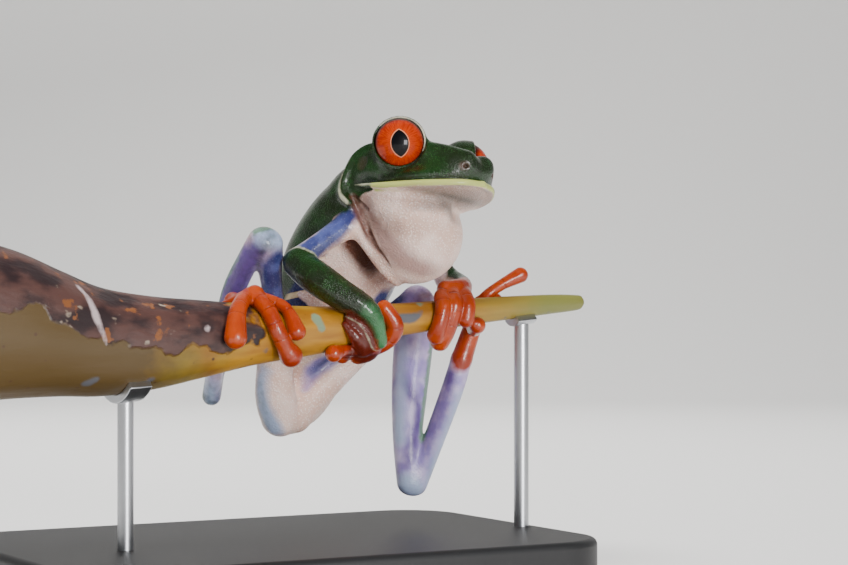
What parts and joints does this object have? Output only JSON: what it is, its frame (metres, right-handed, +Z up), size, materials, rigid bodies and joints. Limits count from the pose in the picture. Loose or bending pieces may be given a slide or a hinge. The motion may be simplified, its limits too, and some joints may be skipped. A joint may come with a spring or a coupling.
{
  "type": "red-eyed tree frog",
  "caption": "Life-size calling red-eyed tree frog gripping a cut length of stem, held over a flat base by a plain display stand.",
  "frame": {"origin": "centre of the stand base's underside, on the floor", "axes": "+X along the stem towards its thin end, +Z up, -Y towards the side that the frog's head looks to; the underside faces -Z"},
  "size_m": [0.072, 0.04, 0.0479],
  "materials": {
    "eye": "glossy red eye",
    "skin_green": "moist dark green skin",
    "skin_pale": "granular cream belly and throat skin",
    "skin_blue": "smooth blue-violet limb skin",
    "skin_lilac": "granular whitish limb skin",
    "skin_orange": "smooth orange hands and feet",
    "stem": "smooth yellow plant stem",
    "stand_base": "satin black",
    "stand_rod": "brushed"
  },
  "bodies": {
    "root": {"eye_left": "eye", "eye_right": "eye", "head": "skin_green", "trunk": "skin_pale", "vocal_sac": "skin_pale", "upper_arm_left": "skin_blue", "upper_arm_right": "skin_blue", "forearm_left": "skin_green", "forearm_right": "skin_green", "hand_left": "skin_orange", "hand_right": "skin_orange", "thigh_left": "skin_lilac", "thigh_right": "skin_lilac", "shank_left": "skin_blue", "shank_right": "skin_blue", "tarsus_left": "skin_lilac", "tarsus_right": "skin_lilac", "foot_left": "skin_orange", "foot_right": "skin_orange", "perch": "stem", "stand_base": "stand_base", "stand_rod_left": "stand_rod", "stand_rod_right": "stand_rod"}
  },
  "joints": []
}
